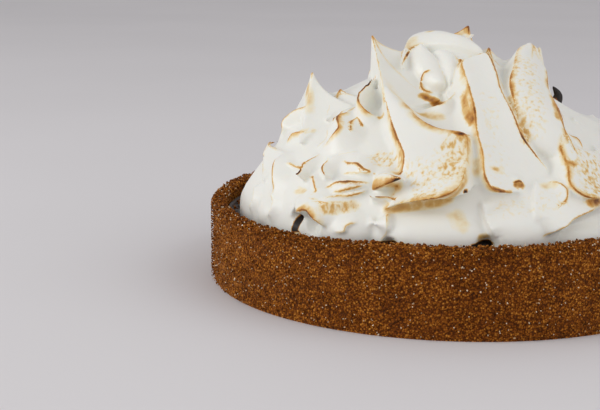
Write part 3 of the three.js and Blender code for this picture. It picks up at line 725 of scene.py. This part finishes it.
# Where the torch lingered, and where near-black painted shade stands in for the dark cave and the gaps
# at the foot: azimuth and z of places, the reach round them, how brown or dark the soft patch is and how
# many small freckles are scattered on it.
flameAndShade = {
    "burnSpot": ([(-115.5, 91.2), (-112, 90.6), (-107, 89.7), (-102, 88.9)], 2.7,
        [0.8, 1.05, 0.85, 0.8], 0),
    "underBurn": ([(-112, 83.5), (-102, 82.5)], 2.6, 0.34, 0),
    "leftSpire": ([(-175, 82), (-168, 80), (-161, 77)], 4, [0.3, 0.3, 0.1], 0),
    "crownSide": ([(-165, 102.5), (-150, 101)], 5, 0.22, 0),
    "crownSpot": ([(-165, 106), (-163, 106)], 3, 0.35, 0),
    "crownDash": ([(-80, 99.5), (-76, 99.5)], 1.5, 0.8, 0),
    "band": ([(-163, 66.5), (-157, 69.5), (-152, 72)], 2, [0.45, 0.4, 0.2], 0),
    # painted shade: a near-black patch stands in for the shade deep in the cave under the lip
    "cave": ([(-137, 43), (-137.5, 35)], 2.2, 4, 0),
    "stroke": ([(-143, 59), (-140, 60.5)], 1.2, 0.6, 0),
    "cheek": ([(-140, 50), (-137, 50.5)], 1.8, 0.35, 0),
    "blot": ([(-127, 46.5), (-121, 48)], 3.6, 0.22, 0.9),
    "cupLow": ([(-125, 81.5), (-127, 80.5)], 1.5, 0.5, 0),
    "leftOfCup": ([(-145, 83.5), (-142, 80)], 2, 0.35, 0),
    "tongueTop": ([(-115, 55.5), (-113, 57), (-110.5, 57)], 3.8, [0.55, 0.5, 0.4], 0),
    "ridgeD": ([(-92, 88), (-91.5, 83), (-90, 79)], 2.8, [0.45, 0.75, 1.0], 0),
    "shieldCorner": ([(-96.5, 74.8), (-94, 74.2), (-92, 74.8)], 1.5, [0.8, 1.5, 0.9], 0),
    "chip": ([(-79.5, 58.2), (-77.8, 58.2)], 1.6, 0.95, 0),
    "ridgeEnd": ([(-86, 57), (-83.5, 55.8), (-81.5, 55.6)], 1.3, [1.0, 1.6, 1.0], 0),
    "lowD": ([(-89, 66), (-89, 63)], 3.5, 0.3, 0),
    "foot": ([(-95, 47), (-94, 44.5)], 5, 0.22, 0),
    "footLow": ([(-89.5, 39.5), (-88, 40)], 2.2, 0.5, 0),
    # painted shade: near-black patches stand in for the shade in the gaps between the foot's lobes, just
    # above the rim
    "footDark": ([(-91, 36), (-87, 36.5)], 2.1, 4, 0),
    "footDarkLeft": ([(-112, 35), (-108.5, 35.5), (-105, 35)], 2.1, 4, 0),
    "dot": ([(-93, 56), (-92.7, 56)], 1.1, 1.6, 0),
    "broadSpot": ([(-85, 63.5), (-84.5, 63.5)], 2, 0.5, 0),
    "rightSpot": ([(-64.5, 64.5), (-63, 63.8)], 2.2, 0.65, 0),
    "fingerSpot": ([(-72, 57.5), (-70, 58)], 3, 0.25, 0),
    "foldEnd": ([(-63, 50.5), (-60, 51.2), (-57, 52)], 2.6, [0.5, 0.9, 1.1], 0),
    "leafEdge": ([(-53, 84.5), (-59, 78.5)], 2.6, 0.7, 0),
    "shieldUnder": ([(-112, 48.5), (-105, 50), (-99, 52), (-95, 55.5), (-93, 60)], 3, 0.42, 0),
    "shieldLow": ([(-105, 62), (-102, 56)], 10, 0, 0.8),
    "shieldHigh": ([(-96, 71), (-97, 63)], 9, 0.08, 0.92),
    "leftFace": ([(-119, 66), (-112, 66)], 6, 0, 1.0),
    "leafBand": ([(-72, 86), (-73, 81), (-72, 74.5)], 3, 0.2, 0.7),
    "leafFace": ([(-48, 95), (-63, 87), (-70, 77)], 9, 0, 0.7),
    "leafFoot": ([(-72, 77), (-73, 73)], 4, 0.1, 1.2),
    "tongueFace": ([(-57, 64), (-60, 55)], 11, 0, 1.1),
    "broadFace": ([(-83, 86), (-84, 62)], 8, 0, 0.4),
    "footFace": ([(-84, 50), (-72, 52)], 9, 0, 0.45),
    "farFace": ([(58, 62), (52, 52)], 12, 0, 0.9),
    "farSpot": ([(100, 60), (104, 58)], 4, 0.7, 0),
    "backFace": ([(160, 60), (165, 52)], 12, 0, 0.8),
    "sideFace": ([(0, 62), (-8, 54)], 12, 0, 0.9),
}


torch = {
    "snap": 2.2,        # a browned place further than this from the surface is dropped
    "far": 7.0,         # the brown bleeds no further
    "line": 1.5,        # half width of the strong brown along a crest
}


def brownMeringue(mesh):
    co = readVertices(mesh) / mm
    around = readVertices(mesh, "normal")
    surface = surfaceOf(mesh)
    tree = kdtree.KDTree(len(burns))
    for i, burn in enumerate(burns):
        nearest = surface.find_nearest(burn[0], torch["snap"])[0]
        if nearest:
            tree.insert(nearest, i)
    tree.balance()
    crest = np.full(len(co), 9.0)
    toast, scorch, freckles = np.zeros((3, len(co)))
    for i, point in enumerate(co):
        place, k, away = tree.find(point)
        if away > torch["far"]:
            continue
        side, strength, bleed = burns[k][1:]
        lateral = (Vector(point) - place).dot(side) + 1.2 * float(around[i] @ np.array(side))
        reach = bleed[0] if lateral < 0 else bleed[1]
        crest[i] = away if lateral > 0 else -away
        toast[i] = 1.1 * strength * max(0, 1 - (away / torch["line"]) ** 2)
        scorch[i] = 0.8 * strength * max(0, 1 - away / reach) ** 1.3
    spots = []
    for line, reach, *strengths in flameAndShade.values():
        for t, point, normal in laidOn(surface, line, 0.7):
            here = [float(np.interp(t, np.linspace(0, 1, len(s)), s)) if isinstance(s, list) else s
                    for s in strengths]
            spots.append((point, reach, here))
    tree = kdtree.KDTree(len(co))
    for i, point in enumerate(co):
        tree.insert(point, i)
    tree.balance()
    # the spots brown the heap; the cave and foot-gap spots paint near-black shade into it
    for point, reach, strengths in spots:
        for place, i, away in tree.find_range(point, reach):
            share = 1 - (away / reach) ** 2
            scorch[i] = max(scorch[i], strengths[0] * share)
            freckles[i] = max(freckles[i], strengths[1] * share)
    for name, values in (("crest", crest), ("toast", toast), ("scorch", scorch), ("freckles", freckles)):
        storeValues(mesh, name, values)
    print("browning:", len(burns), "places on crests,", len(spots), "in spots")


crumbs = {
    "outer": 114.5,     # radius of the pressed wall before its crumbs are carved in
    "inner": 107.0,
    "high": 38.5,
    "floor": 8.0,
    "segments": 900,
    "row": 0.8,
    "coarse": 1.6,      # size of the crumbs in the relief
    "fine": 0.9,
    "dents": 9.0,
    "rimCrumbs": 3600,      # how many of each loose kind
    "wallCrumbs": 6000,
    "fallenCrumbs": 150,
    "sugar": 1400,
}


def rimLift(azimuth):
    a = radians(azimuth)
    highSide = 3.4 * max(0, cos(a + pi / 4)) ** 3
    return highSide + 0.7 * sin(3 * a + 0.6) + 0.4 * sin(7 * a + 2.1) - 0.6


def rimProfile():
    # half a section through the wall, from the middle of the base round to the middle of the floor
    outer, inner, high = crumbs["outer"], crumbs["inner"], crumbs["high"]
    corner = 2.4        # how far down the rim is rounded
    foot = 1.2
    seenTo = 27.0       # the inner face has fine rows down to here, below the filling's top
    points = [(0, 0), (60, 0), (outer - 1.6, 0), (outer - 0.6, 0.5)]
    rows = int((high - corner - foot) / crumbs["row"])
    points += [(outer, foot + (high - corner - foot) * i / rows) for i in range(rows + 1)]
    for i in range(1, 12):
        a = pi * i / 12
        radius = (outer + inner) / 2 + (outer - inner) / 2 * cos(a)
        points.append((radius, high - corner + corner * sin(a) ** 0.8))
    rows = 12
    points += [(inner, high - corner - (high - corner - seenTo) * i / rows) for i in range(rows + 1)]
    return points + [(inner, crumbs["floor"]), (60, crumbs["floor"]), (0, crumbs["floor"])]


liftDepth = 12.0        # the rim's waves die out this far below it


def makeCrust():
    bm = bmesh.new()
    profile = [bm.verts.new((radius * mm, 0, z * mm)) for radius, z in rimProfile()]
    edges = [bm.edges.new(pair) for pair in zip(profile, profile[1:])]
    cuts = 4        # each step of the spin is cut this often, which is quicker than spinning finely
    bmesh.ops.spin(bm, geom=profile + edges, cent=(0, 0, 0), axis=(0, 0, 1), angle=tau,
                   steps=crumbs["segments"] // (cuts + 1), use_merge=True)
    rings = [e for e in bm.edges if abs(e.verts[0].co.xy.length - e.verts[1].co.xy.length) < 0.001 * mm
             and abs(e.verts[0].co.z - e.verts[1].co.z) < 0.001 * mm]
    bmesh.ops.subdivide_edges(bm, edges=rings, cuts=cuts, use_grid_fill=True)
    bmesh.ops.remove_doubles(bm, verts=bm.verts, dist=0.01 * mm)
    bmesh.ops.recalc_face_normals(bm, faces=bm.faces)
    liftFrom = crumbs["high"] - liftDepth
    for vert in bm.verts:
        share = (vert.co.z / mm - liftFrom) / liftDepth
        if share > 0:
            vert.co.z += share * rimLift(atan2(vert.co.y, vert.co.x) * 180 / pi) * mm
    piece = newPiece("crumbCrust", bm)
    group = piece.vertex_groups.new(name="shown")       # the wall, all but its underside
    wall = crumbs["inner"] - 1
    shown = [v.index for v in piece.data.vertices if v.co.xy.length > wall * mm and v.co.z > 0.4 * mm]
    group.add(shown, 1, "REPLACE")
    for name, kind, deep in (("coarse", "VORONOI", 0.8), ("fine", "VORONOI", 0.6),
                             ("dents", "CLOUDS", 0.8)):
        texture = bpy.data.textures.new(name + "Crumbs", kind)
        texture.noise_scale = crumbs[name] * mm
        addModifier(piece, "DISPLACE", texture=texture, texture_coords="LOCAL", strength=-deep * mm,
                    mid_level=0, vertex_group="shown")
    applied(piece)
    print("crust:", len(piece.data.polygons), "faces")
    return piece


def makeGrains(name, count, create, shape):
    # small grains joined in one mesh, a batch at a time because a large bmesh is slow to add to
    whole = bmesh.new()
    batch = 100
    for start in range(0, count, batch):
        some = bmesh.new()
        for i in range(min(batch, count - start)):
            place, size = shape()
            turn = Euler([chance.uniform(0, tau) for axis in range(3)]).to_matrix().to_4x4()
            squash = Matrix.Diagonal([size * chance.uniform(0.55, 1.0) * mm for axis in range(3)]).to_4x4()
            made = create(some, matrix=Matrix.Translation(place * mm) @ turn @ squash)
            for vert in made["verts"]:
                vert.co += Vector([chance.uniform(-0.24, 0.24) * size * mm for axis in range(3)])
        some.to_mesh(scratch)
        some.free()
        whole.from_mesh(scratch)
    piece = newPiece(name, whole)
    print(name + ":", len(piece.data.polygons), "faces")
    return piece


def onCrust(azimuth, radius, z):
    lift = max(0, (z - crumbs["high"] + liftDepth) / liftDepth) * rimLift(azimuth)
    turn = radians(azimuth)
    return Vector((radius * cos(turn), radius * sin(turn), z + lift))


proud = 114.9       # no grain stands past this radius


def rimGrain():
    size = 0.45 + 0.95 * chance.random() ** 3
    outer, inner = crumbs["outer"], crumbs["inner"]
    a = pi * chance.uniform(0.02, 1.0)
    radius = (outer + inner) / 2 + (outer - inner) / 2 * cos(a)
    z = crumbs["high"] - 3.4 + 2.4 * sin(a) ** 0.8 + chance.uniform(-0.2, 0.6)
    return onCrust(chance.uniform(0, 360), min(radius, proud - size), z), size


def wallGrain():
    size = 0.3 + 0.4 * chance.random() ** 2
    return onCrust(chance.uniform(0, 360), 114.8 - size, chance.uniform(1.0, crumbs["high"] - 2.5)), size


def fallenGrain():
    size = 0.4 + 1.1 * chance.random() ** 2
    return onCrust(chance.uniform(0, 360), chance.uniform(102, 106.8), 31 + 0.7 * size), size


def sugarGrain():
    if chance.random() < 0.25:
        place, size = rimGrain()
        return place + Vector((0, 0, 0.5 * size)), 0.55
    size = chance.uniform(0.35, 0.6)
    z = chance.uniform(1.0, crumbs["high"] - 2)
    return onCrust(chance.uniform(0, 360), proud - 0.6 * size, z), size


def toLinear(color):
    # an sRGB hex colour as the linear one that a shader takes
    parts = [int(color[i:i + 2], 16) / 255 for i in (1, 3, 5)]
    return [((part + 0.055) / 1.055) ** 2.4 if part > 0.04045 else part / 12.92 for part in parts] + [1]


def newMaterial(name):
    # the material, its shader, a short way to add nodes to it, and the place on the piece
    material = bpy.data.materials.new(name)
    material.use_nodes = True
    add = partial(addNode, material)
    return material, material.node_tree.nodes["Principled BSDF"], add, add("TexCoord", {})["Object"]


def addNode(material, kind, settings, links=None):
    # adds a node, or dresses one that is there already, and gives its outputs
    node = material.node_tree.nodes.new("ShaderNode" + kind) if isinstance(kind, str) else kind
    for name, value in settings.items():
        if name == "stops":
            for i in range(len(value) - 2):
                node.color_ramp.elements.new(1)
            for element, (position, color) in zip(node.color_ramp.elements, value):
                element.position = position
                element.color = toLinear(color)
        elif isinstance(name, int) or name in node.inputs:
            node.inputs[name].default_value = value
        else:
            setattr(node, name, value)
    for name, socket in (links or {}).items():
        material.node_tree.links.new(socket, node.inputs[name])
    return node.outputs


def perMetre(size):
    # scale of a pattern whose marks are this many mm apart
    return 1 / (size * mm)


meringueLooks = {
    "line": (0.25, 0.45),    # half width in mm of a faint brown line, and what a strong one adds
    "white": "#f0f0e8",
    "char": 0.62,       # share of full black that a strength of 1 reaches
    "browns": [(0.09, "#f1e7c9"), (0.2, "#e2be7b"), (0.36, "#c98f3f"), (0.56, "#9a5f1a"),
               (0.78, "#5c300e"), (0.95, "#1c100a")],
    "satin": 0.36,
    "dry": 0.55,
    "streaks": 11,
    "bubbles": 1.3,
}


def torchedMeringue():
    # Egg white whipped with sugar, spread with a spoon and browned by a torch: a satin white with soft
    # streaks, thin brown lines where the crests caught the torch, blistered freckles on the faces, and
    # near-black painted shade in the cave and the gaps at the foot.
    looks = meringueLooks
    material, shader, add, place = newMaterial("torchedMeringue")
    crest, toast, scorch, freckles = (add("Attribute", {"attribute_name": name})["Fac"]
                                      for name in ("crest", "toast", "scorch", "freckles"))
    dragged = add("VectorMath", {"operation": "MULTIPLY", 1: (1, 1, 0.4)}, {0: place})[0]
    grain, blotch, spots, streaks, bubbles = (
        add("TexNoise", {"Scale": perMetre(size), "Detail": detail}, {"Vector": where})["Fac"]
        for size, detail, where in ((1.5, 2, place), (4, 3, place), (1.7, 2, dragged),
                                    (looks["streaks"], 3, place), (looks["bubbles"], 1, place)))
    away = add("Math", {"operation": "ABSOLUTE"}, {0: crest})[0]
    shake = add("Math", {"operation": "MULTIPLY_ADD", 1: 0.5, 2: -0.25}, {0: grain})[0]
    away = add("Math", {"operation": "ADD"}, {0: away, 1: shake})[0]
    width = add("Math", {"operation": "MULTIPLY_ADD", 1: looks["line"][1], 2: looks["line"][0]},
                {0: toast})[0]
    away = add("Math", {"operation": "DIVIDE"}, {0: away, 1: width})[0]
    line = add("MapRange", {"interpolation_type": "SMOOTHSTEP", "From Min": 0.4, "From Max": 1.4,
                            "To Min": 1, "To Max": 0}, {"Value": away})[0]
    line = add("Math", {"operation": "MULTIPLY"}, {0: line, 1: toast})[0]
    uneven = add("MapRange", {"From Min": 0.35, "From Max": 0.65, "To Min": 0.55, "To Max": 1.15},
                 {"Value": blotch})[0]
    # the soft brown, which also carries the near-black painted shade of the cave and the foot gaps
    soft = add("Math", {"operation": "MULTIPLY"}, {0: scorch, 1: uneven})[0]
    spots = add("Math", {"operation": "MULTIPLY_ADD", 1: 0.12}, {0: freckles, 2: spots})[0]
    spots = add("MapRange", {"From Min": 0.52, "From Max": 0.86, "To Max": 0.5}, {"Value": spots})[0]
    spots = add("Math", {"operation": "MULTIPLY"}, {0: spots, 1: freckles})[0]
    brown = add("Math", {"operation": "MAXIMUM"}, {0: line, 1: soft})[0]
    brown = add("Math", {"operation": "ADD"}, {0: brown, 1: spots})[0]
    brown = add("Math", {"operation": "MULTIPLY", 1: looks["char"]}, {0: brown})[0]
    tint = add("ValToRGB", {"stops": [(0.02, looks["white"]), *looks["browns"]]}, {"Fac": brown})["Color"]
    gloss = add("MapRange", {"To Min": looks["satin"], "To Max": looks["dry"]}, {"Value": brown})[0]
    height = add("Math", {"operation": "MULTIPLY_ADD", 1: 0.1}, {0: bubbles, 2: streaks})[0]
    bump = add("Bump", {"Strength": 0.5, "Distance": 0.6 * mm}, {"Height": height})[0]
    add(shader, {"Subsurface Weight": 0.25, "Subsurface Radius": (1, 0.85, 0.7), "Subsurface Scale": 3 * mm,
                 "IOR": 1.45}, {"Base Color": tint, "Roughness": gloss, "Normal": bump})
    return material


crustLooks = {
    "crumb": 0.9,       # mm across a crumb
    "shades": [(0.0, "#280e00"), (0.3, "#6a3306"), (0.62, "#9c5912"), (1.0, "#da9840")],
    "fuzz": "#d08f3c",
}


def biscuitCrumb():
    # Crushed biscuit pressed with butter and baked: rough warm brown grains of many shades, with painted
    # shade darkening the gaps between them, and a faint gloss of butter.
    material, shader, add, place = newMaterial("biscuitCrumb")
    cells = add("TexVoronoi", {"Scale": perMetre(crustLooks["crumb"])}, {"Vector": place})
    shade = add("SeparateColor", {}, {"Color": cells["Color"]})[0]
    fine = add("TexNoise", {"Scale": perMetre(0.8), "Detail": 2}, {"Vector": place})["Fac"]
    broad = add("TexNoise", {"Scale": perMetre(14), "Detail": 2}, {"Vector": place})["Fac"]
    mixed = add("Math", {"operation": "MULTIPLY_ADD", 1: 0.45}, {0: shade, 2: fine})[0]
    mixed = add("Math", {"operation": "MULTIPLY_ADD", 1: 0.5}, {0: broad, 2: mixed})[0]
    mixed = add("MapRange", {"From Min": 0.5, "From Max": 1.35}, {"Value": mixed})[0]
    # painted shade: the crumb colour darkens towards the cell edges, the gaps between the crumbs
    pitShade = add("MapRange", {"From Min": 0.35, "From Max": 0.75, "To Min": 1, "To Max": 0.25},
               {"Value": cells["Distance"]})[0]
    mixed = add("Math", {"operation": "MULTIPLY"}, {0: mixed, 1: pitShade})[0]
    tint = add("ValToRGB", {"stops": crustLooks["shades"]}, {"Fac": mixed})["Color"]
    bump = add("Bump", {"Strength": 0.8, "Distance": 0.5 * mm}, {"Height": mixed})[0]
    add(shader, {"Roughness": 0.62, "IOR": 1.45, "Specular IOR Level": 0.12, "Sheen Weight": 0.5,
                 "Sheen Roughness": 0.5, "Sheen Tint": toLinear(crustLooks["fuzz"])},
        {"Base Color": tint, "Normal": bump})
    return material


def sugarCrystal():
    # coarse sugar in the crumb: small clear grains that catch the light
    material, shader, add, place = newMaterial("sugarCrystal")
    cloud = add("TexNoise", {"Scale": perMetre(2)}, {"Vector": place})["Fac"]
    tint = add("ValToRGB", {"stops": [(0.35, "#a9824f"), (0.65, "#f0dfc4")]}, {"Fac": cloud})
    add(shader, {"Roughness": 0.15, "IOR": 1.54}, {"Base Color": tint["Color"]})
    return material


def setChocolate():
    # Dark chocolate poured warm and set: nearly black brown, a soft gloss that is dull where it bloomed.
    material, shader, add, place = newMaterial("setChocolate")
    bloom = add("TexNoise", {"Scale": perMetre(7), "Detail": 4}, {"Vector": place})["Fac"]
    waves = add("TexNoise", {"Scale": perMetre(5), "Detail": 1}, {"Vector": place})["Fac"]
    tint = add("ValToRGB", {"stops": [(0.3, "#1a110c"), (0.7, "#33241a")]}, {"Fac": bloom})["Color"]
    gloss = add("MapRange", {"From Min": 0.3, "From Max": 0.7, "To Min": 0.3, "To Max": 0.5},
                {"Value": bloom})[0]
    bump = add("Bump", {"Strength": 0.4, "Distance": 0.8 * mm}, {"Height": waves})[0]
    add(shader, {"IOR": 1.5}, {"Base Color": tint, "Roughness": gloss, "Normal": bump})
    return material


def finish(piece, material, slot, *replaced):
    piece.data.materials.clear()
    piece.data.materials.append(material)
    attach(piece, "root")
    if replaced:
        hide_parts(*replaced)


meringue = makeMeringue()
brownMeringue(meringue.data)
finish(meringue, torchedMeringue(), "meringue", "meringue")

chance = Random(5)
ball = partial(bmesh.ops.create_icosphere, subdivisions=1, radius=1)
cube = partial(bmesh.ops.create_cube, size=1)
crumb = biscuitCrumb()
finish(makeCrust(), crumb, "crumb_crust", "crust")
for name, create, shape, material in (
        ("rimCrumbs", ball, rimGrain, crumb), ("wallCrumbs", ball, wallGrain, crumb),
        ("fallenCrumbs", ball, fallenGrain, crumb), ("sugar", cube, sugarGrain, sugarCrystal())):
    finish(makeGrains(name, crumbs[name], create, shape), material, "crumb_crust")

filling = bpy.data.objects["filling"]
for slot in filling.material_slots:
    slot.material = setChocolate()

studio = {
    "air": "#c6c4c6",
    "airStrength": 0.95,
    "floor": "#e0dedf",
    "lamps": [
        dict(name="window", place=(-1.55, -0.45, 0.7), size=1.0, watts=12.5),
        dict(name="sky", place=(1.3, -0.8, 1.0), size=1.8, watts=9.5),
    ],
}


def paleFloor():
    # matt painted board, pale and very slightly uneven
    material, shader, add, place = newMaterial("paleFloor")
    cloud = add("TexNoise", {"Scale": perMetre(400), "Detail": 2}, {"Vector": place})
    tint = add("ValToRGB", {"stops": [(0.2, "#dad8d9"), (0.8, studio["floor"])]},
                   {"Fac": cloud["Fac"]})
    add(shader, {"Roughness": 0.8}, {"Base Color": tint["Color"]})
    return material


def makeStudio():
    world = bpy.data.worlds.new("studio")
    world.use_nodes = True
    air = world.node_tree.nodes["Background"].inputs
    air["Color"].default_value = toLinear(studio["air"])
    air["Strength"].default_value = studio["airStrength"]
    bpy.context.scene.world = world
    bpy.context.scene.view_settings.view_transform = "Standard"
    for lamp in studio["lamps"]:
        light = bpy.data.lights.new(lamp["name"], "AREA")
        light.energy = lamp["watts"]
        light.size = lamp["size"]
        stand = bpy.data.objects.new(lamp["name"], light)
        bpy.context.scene.collection.objects.link(stand)
        aim = (Vector((0, 0, 0.05)) - Vector(lamp["place"])).to_track_quat("-Z", "Y")
        stand.matrix_world = Matrix.Translation(lamp["place"]) @ aim.to_matrix().to_4x4()
    bm = bmesh.new()
    bmesh.ops.create_grid(bm, x_segments=1, y_segments=1, size=6)
    floor = newPiece("floor", bm)
    floor.data.materials.append(paleFloor())


makeStudio()
